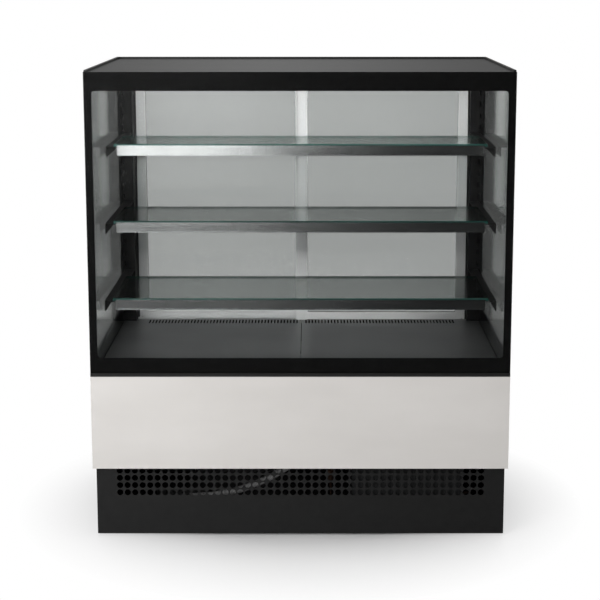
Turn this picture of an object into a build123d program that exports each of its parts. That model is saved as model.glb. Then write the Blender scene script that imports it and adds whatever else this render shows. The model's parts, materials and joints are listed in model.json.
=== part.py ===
from build123d import *
from math import cos, pi, radians, sin, tan
import os

os.makedirs("parts", exist_ok=True)

# Refrigerated pastry display case, in millimetres.
# Origin at the middle of the footprint on the floor, +Z up, the customer's side faces -Y.

# Overall case
case_width = 1200
case_depth = 780
case_height = 1364
sheet = 1.2

# Plinth and machine compartment
plinth_gap = 6
plinth_setback = 50
plinth_inset = 4
service_recess = 6
pan_height = 30
frame_tube = 30
tub_base_height = 290

# Front fascia and glass sill
fascia_base_height = 220
fascia_height = 273
sill_height = 10
deck_rise = 12

# Perforated grille
hole_width = 17.2
hole_sides = 6
hole_pitch = 22
hole_end_margin = 60
hole_rows = 4
lowest_hole_height = 132
grille_sheet = 1.5

# Rear louvres
louvre_rows = 5
louvre_pitch = 26
louvre_size = (200, 9)
louvre_gap = 30

# Double glazing and its black printed border
pane = 4
glazing_gap = 8
border_side = 21
border_top = 53
border_bottom = 43
sill_lip = 4
window_corner = 10
side_border_front = 24
side_border_rear = 46

# Roof
roof_height = 32
roof_rim = 6
roof_rim_width = 8
roof_seam = 4
ceiling_thickness = 12
lamp_width = 24
lamp_height = 16

# Rear posts
post_width = 40
post_proud = 22
post_wall = 2
slot_width = 3.5
slot_height = 16
slots_per_shelf = 6

# Shelves
lowest_shelf_height = 687
shelf_pitch = 222.5
shelf_depths = (350, 300, 250)
shelf_names = ("bottom", "middle", "top")
shelf_glass = 8
shelf_glass_chamfer = 1
shelf_rear_gap = 170
shelf_glass_gap = 31
rail_end_gap = 9.5
rail_height = 30
rail_drop = 4
rail_lip = 2
rail_wall = 1.5
rail_ledge = 20
bracket_sheet = 2.5
bracket_wall_gap = 7
bracket_front_leg = 28
bracket_rear_leg = 70
bracket_taper_length = 110
hook_drop = 6
hook_gap = 1.5

# Deck
deck_sheet = 1.5
deck_air_gap = 25
deck_fit = 1
air_slot_pitch = 10.5
air_slot_width = 5
air_slot_length = 53
air_slot_middle_margin = 12
air_slot_post_margin = 44

# Sliding doors and their tracks
door_zone = 68
track_rib = 3
track_web = 4
door_side_clearance = 2.75
door_end_gap = 5.5
door_lift = 2
slide_gap = 0.1
door_head_clearance = 12
track_cover = 28
stile_width = 27
door_rail_height = 25
door_overlap = 21.5
door_glass_thickness = 14
glass_rebate = 8
glass_edge_gap = 0.5
handle_pocket = (12, 160, 8)
handle_corner = 4
handle_centre_height = 930
glide_length = 40
guide_block = (35, 34, 10)

# Insulated tub and evaporator
tub_wall = 45
tub_rear_wall = 68
tub_floor = 40
coil_length = 840
coil_height = 120
coil_depth = 130
coil_centre_y = 130
coil_stand = 10
coil_plate = 2
evaporator_bend_rows = 3
evaporator_bend_reach = 32
fan_plate_y = -60
fan_plate_height = 150
evaporator_fan_spread = 440
evaporator_fan_radius = 64
fan_tip_gap = 4

# Fans
blade_count = 5
blade_pitch = 28
blade_thickness = 2
blade_root_half_chord = 9
blade_leading_chord = 20
blade_tip_leading_chord = 11
blade_tip_trailing_chord = 15
blade_leading_inset = 7
hub_radius = 18
hub_sides = 18
hub_width = 22
shaft_radius = 3
shaft_clearance = 0.05
motor_radius = 34
motor_length = 42
motor_gap = 4
motor_arm_width = 18
opening_sides = 24

# Condensing unit
condenser_end_gap = 126
condenser_width = 320
condenser_height = 200
condenser_depth = 44
condenser_front_gap = 12
shroud_depth = 22
condenser_fan_radius = 80
condenser_bend_rows = 4
condenser_bend_reach = 15
compressor_setback = 400
compressor_radius = 74
compressor_top_slope = (37, 24.6)
compressor_shell_sides = 24
compressor_height = 168
compressor_plate = (210, 150, 3)
compressor_plate_corner = 15
compressor_mount_height = 12
compressor_mount_radius = 12
compressor_mount_sides = 12
compressor_mount_inset = 15
terminal_cover = (60, 34, 59)
terminal_cover_base = 50
pipe_diameter = 8
pipe_sides = 6
pipe_bend_radius = 16
pipe_offset = 30
pipe_stub_height = 76
pipe_low_height = 15
drier_diameter = 24
drier_length = 110
drier_chamfer = 6

# Levelling feet
foot_pad_radius = 25
foot_pad_sides = 24
foot_pad_height = 8
foot_stem_radius = 6
foot_stem_sides = 12
foot_stem_length = 67
foot_clearance = 0.05
foot_boss_width = 26
foot_boss_height = 24
foot_inset = 56

# Ribbed drain hose, its knee and toe given as X and Z
hose_radius = 11
hose_valley_radius = 9.6
hose_bore_radius = 8
hose_setback = 53.5
hose_start_x = 40
hose_knee_height = 237
hose_toe = (-190, 100.5)
hose_end_x = -330
hose_cuff = 22
rib_count = 20
rib_valley_end = 0.3
rib_crest_start = 0.5
rib_crest_end = 0.8
rib_sides = 8
spigot_length = 20
spigot_clearance = 0.2
spigot_wall = 1.8
spigot_sides = 24

# Evaporation tray and electrical box
tray_size = (170, 180, 52)
tray_wall = 2
tray_corner = 8
tray_overhang = 52
tray_front_gap = 5
electrical_box_size = (150, 190, 110)
electrical_box_end_gap = 101
electrical_box_chamfer = 4

# Rear controls
control_end_gap = 266
control_height = 165
control_size = (200, 46, 45)
bezel_margin = 6
bezel_thickness = 2.5
key_size = (13.6, 9.6)
key_spacing = 22
key_clearance = 0.2
key_flange = 1.5
key_flange_thickness = 1.5
key_lip = 2
key_proud = 1.5
key_travel = 1.5
key_chamfer = 0.5
display_size = (50, 23)
display_offset = 66
display_recess = 1.25
rocker_radius = 10.4
rocker_sides = 24
rocker_width = 13.6
rocker_tilt = 8
rocker_clearance = 0.3
rocker_pin_radius = 1.5
rocker_pin_length = 1.5
rocker_pin_clearance = 0.05
rocker_depth = 3

# Places worked out from the sizes above
half_width = case_width / 2
front_y = -case_depth / 2
back_y = case_depth / 2
fascia_top = fascia_base_height + fascia_height
sill_top = fascia_top + sill_height
deck_top = fascia_top + deck_rise
roof_base = case_height - roof_height
roof_skin = case_height - roof_rim
glass_top = case_height - roof_seam
glazing = 2 * pane + glazing_gap
inner_half = half_width - glazing
front_inner_y = front_y + glazing
plinth_front_y = front_y + plinth_setback
plinth_half = half_width - plinth_inset
service_y = back_y - service_recess
door_plane_y = back_y - door_zone
post_front_y = door_plane_y - post_proud
post_inner_x = inner_half - post_width
shelf_back_y = post_front_y - shelf_rear_gap
bracket_x = inner_half - bracket_wall_gap
tub_inner_front_y = front_y + sheet + tub_wall
tub_inner_half = half_width - sheet - tub_wall
tub_inner_floor = tub_base_height + tub_floor
tub_inner_rear_y = service_y - sheet - tub_rear_wall
pan_top = pan_height + sheet
pan_half = plinth_half - sheet
pan_front_y = plinth_front_y + grille_sheet
pan_back_y = service_y - sheet
condenser_centre_x = plinth_half - condenser_end_gap - condenser_width / 2
compressor_centre = (condenser_centre_x, pan_front_y + compressor_setback)
hose_centre_y = pan_front_y + hose_setback
control_centre_x = plinth_half - control_end_gap


def block(x_span, y_span, z_span, mode=Mode.ADD):
    """Rectangular block over three spans, added to or cut from the part being built."""
    with BuildSketch(Plane.XY.offset(z_span[0])) as footprint:
        with Locations((sum(x_span) / 2, sum(y_span) / 2)):
            Rectangle(x_span[1] - x_span[0], y_span[1] - y_span[0])
    extrude(footprint.sketch, amount=z_span[1] - z_span[0], mode=mode)


def bar(plane, outline, length, mode=Mode.ADD):
    """Straight bar along the plane's normal, its closed outline given in the plane."""
    with BuildSketch(plane) as section:
        with BuildLine():
            Polyline(*outline, close=True)
        make_face()
    extrude(section.sketch, amount=length, mode=mode)


def folded_sheet(plane, stations, thickness, length, side=Side.LEFT):
    """Folded sheet along the plane's normal, its outer skin following the stations."""
    with BuildSketch(plane) as section:
        with BuildLine():
            Polyline(*stations)
            offset(amount=thickness, side=side, kind=Kind.INTERSECTION)
        make_face()
    extrude(section.sketch, amount=length)


def facing_front(y):
    """Plane at depth y that reads as X across and Z up and faces the customer."""
    return Plane.XZ.offset(-y)


def facing_rear(x, y, z):
    """Plane at a point that faces the back, with its own up along Z."""
    return Plane(origin=(x, y, z), x_dir=(-1, 0, 0), z_dir=(0, 1, 0))


def write(node, part):
    """Label a finished piece and write it under its node's name."""
    part.label = node
    export_step(part, f"parts/{node}.step")


# Welded chassis: the floor pan, four corner legs and the rails that carry the tub
with BuildPart() as chassis:
    block((-pan_half, pan_half), (pan_front_y, pan_back_y), (pan_height, pan_top))
    leg_x = pan_half - frame_tube / 2
    leg_ys = (pan_front_y + frame_tube / 2, pan_back_y - frame_tube / 2)
    for x in (-leg_x, leg_x):
        for y in leg_ys:
            block(
                (x - frame_tube / 2, x + frame_tube / 2),
                (y - frame_tube / 2, y + frame_tube / 2),
                (pan_top, tub_base_height),
            )
    tub_rail_z = (tub_base_height - frame_tube, tub_base_height)
    for y in leg_ys:
        block((-leg_x, leg_x), (y - frame_tube / 2, y + frame_tube / 2), tub_rail_z)
    for x in (-leg_x, leg_x):
        block((x - frame_tube / 2, x + frame_tube / 2), leg_ys, tub_rail_z)
    foot_x = plinth_half - foot_inset - frame_tube / 2
    foot_ys = (plinth_front_y + foot_inset, service_y - foot_inset)
    foot_points = [(x, y) for x in (-foot_x, foot_x) for y in foot_ys]
    with BuildSketch(Plane.XY.offset(pan_top)):
        with Locations(*foot_points):
            Rectangle(foot_boss_width, foot_boss_width)
    extrude(amount=foot_boss_height)
    with BuildSketch(Plane.XY.offset(pan_height)):
        with Locations(*foot_points):
            RegularPolygon(foot_stem_radius + foot_clearance, foot_stem_sides)
    extrude(amount=sheet + foot_boss_height, mode=Mode.SUBTRACT)
write("chassis", chassis.part)

# Levelling feet: a round pad on a stem that winds through the chassis boss
for side_name, x in (("left", -foot_x), ("right", foot_x)):
    for end_name, y in zip(("front", "rear"), foot_ys):
        with BuildPart() as foot:
            with BuildSketch(Plane.XY):
                with Locations((x, y)):
                    RegularPolygon(foot_pad_radius, foot_pad_sides)
            extrude(amount=foot_pad_height)
            with BuildSketch(Plane.XY.offset(foot_pad_height)):
                with Locations((x, y)):
                    RegularPolygon(foot_stem_radius, foot_stem_sides)
            extrude(amount=foot_stem_length)
        write(f"foot_{end_name}_{side_name}", foot.part)

# Perforated front grille with folded ends
with BuildPart() as front_grille:
    block(
        (-plinth_half, plinth_half),
        (plinth_front_y, plinth_front_y + grille_sheet),
        (plinth_gap, fascia_base_height),
    )
    hole_columns = int(2 * (plinth_half - hole_end_margin) / hole_pitch) + 1
    hole_field_middle = lowest_hole_height + (hole_rows - 1) * hole_pitch / 2
    with BuildSketch(facing_front(plinth_front_y + grille_sheet)):
        with Locations((0, hole_field_middle)):
            with GridLocations(hole_pitch, hole_pitch, hole_columns, hole_rows):
                RegularPolygon(hole_width / 2, hole_sides, major_radius=False)
    extrude(amount=grille_sheet, mode=Mode.SUBTRACT)
write("front_grille", front_grille.part)

# Plinth sides, folded in at the foot
for side_name, outward in (("left", -1), ("right", 1)):
    with BuildPart() as plinth_side:
        folded_sheet(
            Plane.XZ.offset(-service_y + sheet),
            [
                (outward * plinth_half, fascia_base_height),
                (outward * plinth_half, plinth_gap),
                (outward * (plinth_half - frame_tube / 2), plinth_gap),
            ],
            sheet,
            service_y - sheet - plinth_front_y - grille_sheet,
            Side.LEFT if outward < 0 else Side.RIGHT,
        )
    write(f"plinth_side_{side_name}", plinth_side.part)

# Rear grille: a louvred sheet with a window for the controls
with BuildPart() as rear_grille:
    block((-plinth_half, plinth_half), (service_y - sheet, service_y), (plinth_gap, fascia_base_height))
    with BuildSketch(facing_front(service_y)):
        with Locations((-plinth_half / 2, (plinth_gap + fascia_base_height) / 2)):
            with GridLocations(louvre_size[0] + louvre_gap, louvre_pitch, 2, louvre_rows):
                Rectangle(*louvre_size)
        with Locations((control_centre_x, control_height)):
            Rectangle(control_size[0], control_size[1])
    extrude(amount=sheet, mode=Mode.SUBTRACT)
write("rear_grille", rear_grille.part)

# Control housing with its bezel, display recess, key wells and rocker well
bezel_face = service_y + bezel_thickness
key_xs = [control_centre_x + (index - 1) * key_spacing for index in range(3)]
rocker_x = control_centre_x - control_size[0] / 2 + 2 * rocker_width
rocker_pivot_y = bezel_face - rocker_depth
with BuildPart() as control_housing:
    block(
        (control_centre_x - control_size[0] / 2, control_centre_x + control_size[0] / 2),
        (service_y - control_size[2], service_y),
        (control_height - control_size[1] / 2, control_height + control_size[1] / 2),
    )
    with BuildSketch(facing_rear(control_centre_x, service_y, control_height)):
        Rectangle(control_size[0] + 2 * bezel_margin, control_size[1] + 2 * bezel_margin)
    extrude(amount=bezel_thickness)
    with BuildSketch(facing_rear(control_centre_x + display_offset, bezel_face, control_height)):
        Rectangle(*display_size)
    extrude(amount=-display_recess, mode=Mode.SUBTRACT)
    for x in key_xs:
        well_x = key_size[0] / 2 + key_clearance
        well_z = key_size[1] / 2 + key_clearance
        block(
            (x - well_x, x + well_x),
            (bezel_face - key_lip, bezel_face),
            (control_height - well_z, control_height + well_z),
            Mode.SUBTRACT,
        )
        block(
            (x - well_x - key_flange, x + well_x + key_flange),
            (bezel_face - key_lip - key_flange_thickness - 2 * key_travel, bezel_face - key_lip),
            (control_height - well_z - key_flange, control_height + well_z + key_flange),
            Mode.SUBTRACT,
        )
    block(
        (
            rocker_x - rocker_width / 2 - rocker_clearance,
            rocker_x + rocker_width / 2 + rocker_clearance,
        ),
        (rocker_pivot_y - rocker_radius - rocker_clearance, bezel_face),
        (
            control_height - rocker_radius - rocker_clearance,
            control_height + rocker_radius + rocker_clearance,
        ),
        Mode.SUBTRACT,
    )
    pin_reach = rocker_width / 2 + rocker_clearance + rocker_pin_length
    with BuildSketch(Plane.YZ.offset(rocker_x - pin_reach)):
        with Locations((rocker_pivot_y, control_height)):
            Circle(rocker_pin_radius + rocker_pin_clearance)
    extrude(amount=2 * pin_reach, mode=Mode.SUBTRACT)
write("control_housing", control_housing.part)

# Three keys, each held behind the bezel by its own flange
for key_name, x in zip(("key_set", "key_down", "key_up"), key_xs):
    with BuildPart() as key:
        with BuildSketch(facing_rear(x, bezel_face - key_lip - key_flange_thickness, control_height)):
            Rectangle(key_size[0] + 2 * key_flange, key_size[1] + 2 * key_flange)
        extrude(amount=key_flange_thickness)
        with BuildSketch(facing_rear(x, bezel_face - key_lip, control_height)):
            Rectangle(*key_size)
        extrude(amount=key_lip + key_proud)
        chamfer(key.faces().sort_by(Axis.Y)[-1].edges(), key_chamfer)
    write(key_name, key.part)

# Light rocker: a round body with a shallow V face, tilted to its lit position
with BuildPart() as light_rocker:
    rocker_plane = Plane(
        origin=(rocker_x - rocker_width / 2, rocker_pivot_y, control_height),
        x_dir=(0, cos(radians(rocker_tilt)), -sin(radians(rocker_tilt))),
        z_dir=(1, 0, 0),
    )
    with BuildSketch(rocker_plane):
        RegularPolygon(rocker_radius, rocker_sides)
        with BuildLine():
            face_rise = rocker_radius * tan(radians(rocker_tilt))
            Polyline(
                (rocker_depth, 0),
                (rocker_depth + face_rise, rocker_radius),
                (2 * rocker_radius, rocker_radius),
                (2 * rocker_radius, -rocker_radius),
                (rocker_depth + face_rise, -rocker_radius),
                close=True,
            )
        make_face(mode=Mode.SUBTRACT)
    extrude(amount=rocker_width)
    with BuildSketch(Plane.YZ.offset(rocker_x - pin_reach)):
        with Locations((rocker_pivot_y, control_height)):
            Circle(rocker_pin_radius)
    extrude(amount=2 * pin_reach)
write("light_rocker", light_rocker.part)

# Insulated tub: an open foamed box with a drain spigot under its floor
with BuildPart() as insulated_tub:
    block(
        (-half_width + sheet, half_width - sheet),
        (front_y + sheet, service_y - sheet),
        (tub_base_height, fascia_top),
    )
    block(
        (-tub_inner_half, tub_inner_half),
        (tub_inner_front_y, tub_inner_rear_y),
        (tub_inner_floor, fascia_top),
        Mode.SUBTRACT,
    )
    spigot_radius = hose_bore_radius - spigot_clearance
    with BuildSketch(Plane.XY.offset(tub_base_height - spigot_length)):
        with Locations((hose_start_x, hose_centre_y)):
            RegularPolygon(spigot_radius, spigot_sides)
    extrude(amount=spigot_length)
    with BuildSketch(Plane.XY.offset(tub_base_height - spigot_length)):
        with Locations((hose_start_x, hose_centre_y)):
            RegularPolygon(spigot_radius - spigot_wall, spigot_sides)
    extrude(amount=spigot_length + tub_floor, mode=Mode.SUBTRACT)
write("insulated_tub", insulated_tub.part)

# Drain hose: a ribbed tube from the spigot down to the evaporation tray
knee = Vector(hose_start_x, hose_centre_y, hose_knee_height)
toe = Vector(hose_toe[0], hose_centre_y, hose_toe[1])
hose_top = Vector(hose_start_x, hose_centre_y, tub_base_height)
hose_end = Vector(hose_end_x, hose_centre_y, hose_toe[1])


def largest_bend(corner, before, after, straight_in, straight_out):
    """Largest arc radius at a corner that leaves the stated straight ends free."""
    incoming = corner - before
    outgoing = after - corner
    turn = radians(incoming.get_angle(outgoing))
    free = min(incoming.length - straight_in, outgoing.length - straight_out)
    return free / tan(turn / 2)


knee_radius = largest_bend(knee, hose_top, toe, hose_cuff, (toe - knee).length / 2)
toe_radius = largest_bend(toe, knee, hose_end, (toe - knee).length / 2, hose_cuff * 2)
print("hose bend radii", round(knee_radius, 1), round(toe_radius, 1))
with BuildLine() as hose_route:
    FilletPolyline(hose_top, knee, toe, hose_end, radius=[knee_radius, toe_radius])
hose_line = hose_route.wires()[0]
hose_length = hose_line.length
hose_steady = Vector(0, 1, 0)


def hose_plane(distance):
    """Plane square to the hose at a distance along it, with a steady X axis."""
    share = min(max(distance / hose_length, 0), 1)
    return Plane(hose_line @ share, x_dir=hose_steady, z_dir=hose_line % share)


ribbed_length = hose_length - 2 * hose_cuff
rib_pitch = ribbed_length / rib_count
hose_stations = [(0, hose_valley_radius)]
for rib in range(rib_count):
    rib_start = hose_cuff + rib * rib_pitch
    hose_stations += [
        (rib_start, hose_valley_radius),
        (rib_start + rib_pitch * rib_valley_end, hose_valley_radius),
        (rib_start + rib_pitch * rib_crest_start, hose_radius),
        (rib_start + rib_pitch * rib_crest_end, hose_radius),
    ]
hose_stations += [(hose_length - hose_cuff, hose_valley_radius), (hose_length, hose_valley_radius)]
with BuildPart() as drain_hose:
    for distance, radius in hose_stations:
        with BuildSketch(hose_plane(distance)):
            RegularPolygon(radius, rib_sides)
    loft(ruled=True)
    with BuildLine():
        FilletPolyline(hose_top, knee, toe, hose_end, radius=[knee_radius, toe_radius])
    with BuildSketch(hose_plane(0)):
        RegularPolygon(hose_bore_radius, rib_sides, major_radius=False)
    sweep(mode=Mode.SUBTRACT)
with BuildSketch() as hose_wall:
    RegularPolygon((hose_radius + hose_valley_radius) / 2, rib_sides)
    RegularPolygon(hose_bore_radius, rib_sides, major_radius=False, mode=Mode.SUBTRACT)
print("hose volume", round(drain_hose.part.volume), "of", round(hose_wall.sketch.area * hose_length))
write("drain_hose", drain_hose.part)

# Evaporation tray under the hose end
with BuildPart() as evaporation_tray:
    tray_right_x = hose_end_x + tray_overhang
    tray_x = (tray_right_x - tray_size[0], tray_right_x)
    tray_y = (pan_front_y + tray_front_gap, pan_front_y + tray_front_gap + tray_size[1])
    block(tray_x, tray_y, (pan_top, pan_top + tray_size[2]))
    chamfer(evaporation_tray.edges().filter_by(Axis.Z), tray_corner)
    offset(amount=-tray_wall, openings=evaporation_tray.faces().sort_by(Axis.Z)[-1])
write("evaporation_tray", evaporation_tray.part)

# Electrical box with a chamfered lid
with BuildPart() as electrical_box:
    box_back_y = pan_back_y - frame_tube
    box_left_x = -plinth_half + electrical_box_end_gap
    block(
        (box_left_x, box_left_x + electrical_box_size[0]),
        (box_back_y - electrical_box_size[1], box_back_y),
        (pan_top, pan_top + electrical_box_size[2]),
    )
    chamfer(electrical_box.faces().sort_by(Axis.Z)[-1].edges(), electrical_box_chamfer)
write("electrical_box", electrical_box.part)

# Hermetic compressor: a round shell with a sloped top, its base plate and terminal cover
compressor_x, compressor_y = compressor_centre
plate_base = pan_top + compressor_mount_height
with BuildPart() as compressor:
    shell_base = plate_base + compressor_plate[2]
    with BuildSketch(Plane.XY.offset(shell_base)):
        with Locations(compressor_centre):
            RegularPolygon(compressor_radius, compressor_shell_sides)
    extrude(amount=compressor_height)
    shell_top_edges = compressor.faces().sort_by(Axis.Z)[-1].edges()
    chamfer(shell_top_edges, *compressor_top_slope)
    with BuildSketch(Plane.XY.offset(plate_base)):
        with Locations(compressor_centre):
            RectangleRounded(compressor_plate[0], compressor_plate[1], compressor_plate_corner)
    extrude(amount=compressor_plate[2])
    cover_front_y = compressor_y - compressor_radius - terminal_cover[1] / 2
    cover_base = shell_base + terminal_cover_base
    block(
        (compressor_x - terminal_cover[0] / 2, compressor_x + terminal_cover[0] / 2),
        (cover_front_y, cover_front_y + terminal_cover[1]),
        (cover_base, cover_base + terminal_cover[2]),
    )
write("compressor", compressor.part)

# Four rubber mounts under the compressor's plate
with BuildPart() as compressor_mounts:
    mount_pitch_x = compressor_plate[0] - 2 * compressor_mount_inset
    mount_pitch_y = compressor_plate[1] - 2 * compressor_mount_inset
    with BuildSketch(Plane.XY.offset(pan_top)):
        with Locations(compressor_centre):
            with GridLocations(mount_pitch_x, mount_pitch_y, 2, 2):
                RegularPolygon(compressor_mount_radius, compressor_mount_sides)
    extrude(amount=compressor_mount_height)
write("compressor_mounts", compressor_mounts.part)

# Condenser: a fin block between two end plates, with return bends at one end
condenser_front_y = pan_front_y + condenser_front_gap
condenser_back_y = condenser_front_y + condenser_depth
condenser_x = (condenser_centre_x - condenser_width / 2, condenser_centre_x + condenser_width / 2)
condenser_z = (pan_top, pan_top + condenser_height)


def return_bends(end_x, outward, y_centre, z_span, rows, reach):
    """Column of half-loop bends on a coil's end plate, each joining two tube rows."""
    row_gap = (z_span[1] - z_span[0]) / (2 * rows)
    for row in range(rows):
        z_middle = z_span[0] + row_gap * (2 * row + 1)
        with BuildSketch(Plane((end_x, y_centre, z_middle))) as tube:
            with BuildLine():
                Line((0, -reach), (0, reach))
                ThreePointArc((0, reach), (outward * reach, 0), (0, -reach))
            make_face()
        extrude(tube.sketch, amount=pipe_diameter / 2, both=True)


with BuildPart() as condenser_coil:
    block(condenser_x, (condenser_front_y, condenser_back_y), condenser_z)
    coil_mid_y = (condenser_front_y + condenser_back_y) / 2
    return_bends(
        condenser_x[0], -1, coil_mid_y, condenser_z, condenser_bend_rows, condenser_bend_reach
    )
write("condenser_coil", condenser_coil.part)


def fan_plane(x, y, z):
    """Plane across a fan's axis, with its normal along +Y."""
    return Plane(origin=(x, y, z), x_dir=(1, 0, 0), z_dir=(0, 1, 0))


def fan_wheel(x, y, z, tip_radius):
    """Axial fan wheel about a line along Y: a bored hub and pitched blades."""
    with BuildPart() as wheel:
        with BuildSketch(fan_plane(x, y - hub_width / 2, z)):
            RegularPolygon(hub_radius, hub_sides)
        extrude(amount=hub_width)
        blade_reach = tip_radius - hub_radius / 2
        for index in range(blade_count):
            angle = 2 * pi * index / blade_count
            radial = Vector(cos(angle), 0, sin(angle))
            tangent = Vector(-sin(angle), 0, cos(angle))
            lean = tangent * sin(radians(blade_pitch)) + Vector(0, 1, 0) * cos(radians(blade_pitch))
            middle = Vector(x, y, z) + radial * (hub_radius / 2 + blade_reach / 2)
            with BuildSketch(Plane(middle, x_dir=radial, z_dir=lean)):
                with BuildLine():
                    Polyline(
                        (-blade_reach / 2, -blade_root_half_chord),
                        (-blade_reach / 2, blade_root_half_chord),
                        (blade_reach / 2 - blade_leading_inset, blade_leading_chord),
                        (blade_reach / 2 - blade_thickness, blade_tip_leading_chord),
                        (blade_reach / 2 - blade_thickness, -blade_tip_trailing_chord),
                        close=True,
                    )
                make_face()
            extrude(amount=blade_thickness / 2, both=True)
        with BuildSketch(fan_plane(x, y - hub_width, z)):
            Circle(shaft_radius + shaft_clearance)
        extrude(amount=2 * hub_width, mode=Mode.SUBTRACT)
    return wheel.part


def fan_motor(x, y, z, outward):
    """Motor body and shaft, the shaft reaching through the wheel that stands at y."""
    with BuildSketch(fan_plane(x, y + outward * (hub_width / 2 + motor_gap), z)) as body:
        RegularPolygon(motor_radius, hub_sides)
    extrude(body.sketch, amount=outward * motor_length)
    with BuildSketch(fan_plane(x, y - outward * hub_width / 2, z)) as shaft:
        Circle(shaft_radius)
    extrude(shaft.sketch, amount=outward * (hub_width + motor_gap))


# Condenser shroud: a plate with the fan's opening, a short collar and the motor's arms
shroud_back_y = condenser_back_y + shroud_depth
condenser_middle_z = sum(condenser_z) / 2
condenser_fan_y = shroud_back_y - hub_width / 2
with BuildPart() as condenser_shroud:
    block(condenser_x, (condenser_back_y, shroud_back_y), condenser_z)
    block(
        (condenser_x[0] + sheet, condenser_x[1] - sheet),
        (condenser_back_y, shroud_back_y - sheet),
        (condenser_z[0] + sheet, condenser_z[1] - sheet),
        Mode.SUBTRACT,
    )
    with BuildSketch(fan_plane(condenser_centre_x, condenser_back_y, condenser_middle_z)):
        RegularPolygon(condenser_fan_radius + fan_tip_gap, opening_sides, major_radius=False)
    extrude(amount=shroud_depth, mode=Mode.SUBTRACT)
    motor_back_y = condenser_fan_y + hub_width / 2 + motor_gap + motor_length
    arm_reach = condenser_fan_radius + fan_tip_gap + frame_tube / 2
    for outward in (-1, 1):
        arm_x = sorted((outward * (arm_reach - sheet), outward * arm_reach))
        block(
            (condenser_centre_x + arm_x[0], condenser_centre_x + arm_x[1]),
            (shroud_back_y, motor_back_y + sheet),
            (condenser_middle_z - motor_arm_width / 2, condenser_middle_z + motor_arm_width / 2),
        )
    block(
        (condenser_centre_x - arm_reach, condenser_centre_x + arm_reach),
        (motor_back_y, motor_back_y + sheet),
        (condenser_middle_z - motor_arm_width / 2, condenser_middle_z + motor_arm_width / 2),
    )
write("condenser_shroud", condenser_shroud.part)

with BuildPart() as condenser_fan_motor:
    fan_motor(condenser_centre_x, condenser_fan_y, condenser_middle_z, 1)
write("condenser_fan_motor", condenser_fan_motor.part)
condenser_wheel = fan_wheel(condenser_centre_x, condenser_fan_y, condenser_middle_z, condenser_fan_radius)
write("condenser_fan", condenser_wheel)

# Evaporator: a fin block on two end plates that stand on the tub floor
with BuildPart() as evaporator_coil:
    coil_y = (coil_centre_y - coil_depth / 2, coil_centre_y + coil_depth / 2)
    coil_z = (tub_inner_floor + coil_stand, tub_inner_floor + coil_stand + coil_height)
    block((-coil_length / 2, coil_length / 2), coil_y, coil_z)
    for outward in (-1, 1):
        plate_x = sorted((outward * coil_length / 2, outward * (coil_length / 2 + coil_plate)))
        block(plate_x, coil_y, (tub_inner_floor, coil_z[1]))
    return_bends(
        coil_length / 2 + coil_plate,
        1,
        coil_centre_y,
        coil_z,
        evaporator_bend_rows,
        evaporator_bend_reach,
    )
write("evaporator_coil", evaporator_coil.part)

# Evaporator fan plate: a wall across the tub with two openings and the motors on arms
fan_axis_z = tub_inner_floor + fan_plate_height / 2
evaporator_fan_y = fan_plate_y
evaporator_fan_xs = (-evaporator_fan_spread / 2, evaporator_fan_spread / 2)
with BuildPart() as evaporator_fan_plate:
    block(
        (-tub_inner_half, tub_inner_half),
        (fan_plate_y, fan_plate_y + sheet),
        (tub_inner_floor, tub_inner_floor + fan_plate_height),
    )
    for x in evaporator_fan_xs:
        with BuildSketch(fan_plane(x, fan_plate_y, fan_axis_z)):
            RegularPolygon(evaporator_fan_radius + fan_tip_gap, opening_sides, major_radius=False)
        extrude(amount=sheet, mode=Mode.SUBTRACT)
    motor_front_y = evaporator_fan_y - hub_width / 2 - motor_gap
    for x in evaporator_fan_xs:
        fan_motor(x, evaporator_fan_y, fan_axis_z, -1)
        block(
            (x - motor_arm_width / 2, x + motor_arm_width / 2),
            (motor_front_y - motor_length - sheet, motor_front_y - motor_length),
            (tub_inner_floor, fan_axis_z + motor_radius / 2),
        )
write("evaporator_fan_plate", evaporator_fan_plate.part)
for side_name, x in zip(("left", "right"), evaporator_fan_xs):
    evaporator_wheel = fan_wheel(x, evaporator_fan_y, fan_axis_z, evaporator_fan_radius)
    write(f"evaporator_fan_{side_name}", evaporator_wheel)


def pipe_run(points):
    """Pipe along straight runs joined by bends of one radius."""
    with BuildLine() as route:
        FilletPolyline(*points, radius=pipe_bend_radius)
    start = Plane(route.line @ 0, z_dir=route.line % 0)
    with BuildSketch(start) as section:
        RegularPolygon(pipe_diameter / 2, pipe_sides)
    sweep(section.sketch, path=route.line)


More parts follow.
